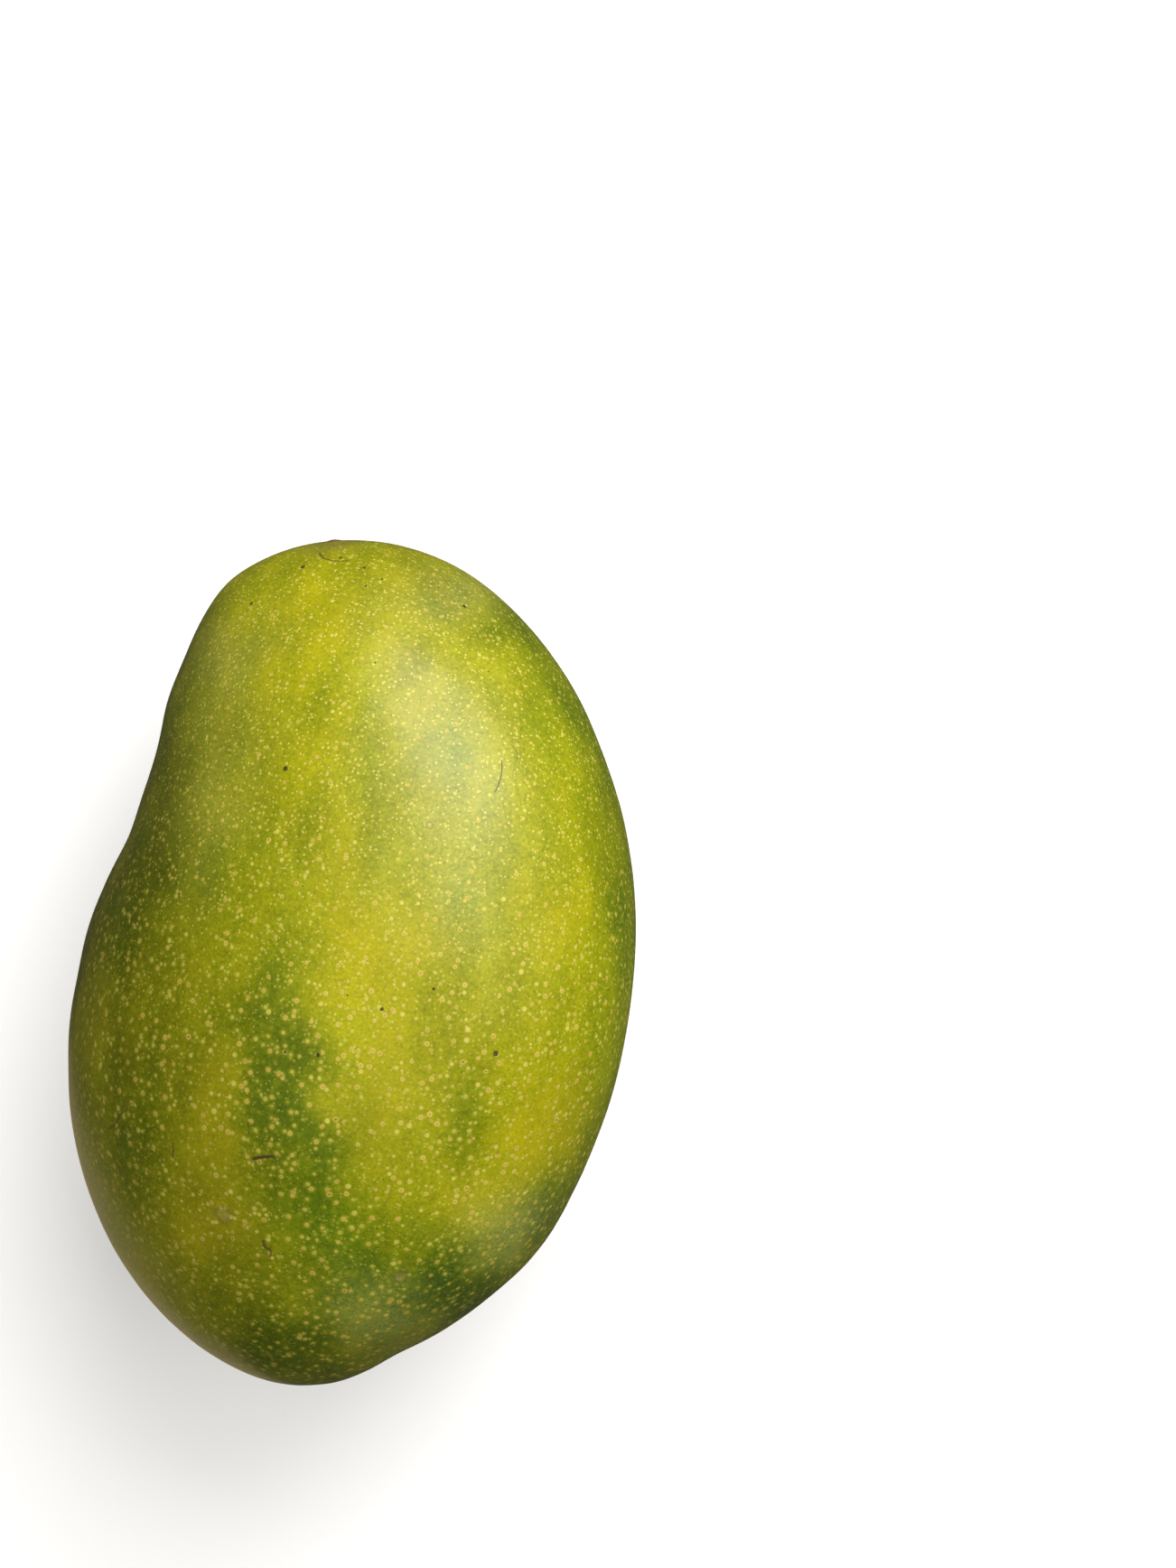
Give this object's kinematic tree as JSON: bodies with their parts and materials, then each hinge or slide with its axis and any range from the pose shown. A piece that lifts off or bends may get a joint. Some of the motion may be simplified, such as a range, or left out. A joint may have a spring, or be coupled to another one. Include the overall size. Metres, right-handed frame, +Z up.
{
  "type": "mango",
  "caption": "Whole green-yellow mango without its stalk: a kidney-shaped fruit with a shallow stem dimple, lying on its cheek, for a bowl, a table or a market display.",
  "frame": {"origin": "middle of the fruit's footprint box, on the surface that it lies on", "axes": "+Y from the broad stem end to the narrower beak end, +X towards the full back, +Z up through the cheeks"},
  "size_m": [0.0878, 0.1334, 0.0775],
  "materials": {
    "skin": "waxy satin fruit skin, green turning yellow in patches, with pale pores all over"
  },
  "bodies": {
    "root": {"mango": "skin"}
  },
  "joints": []
}
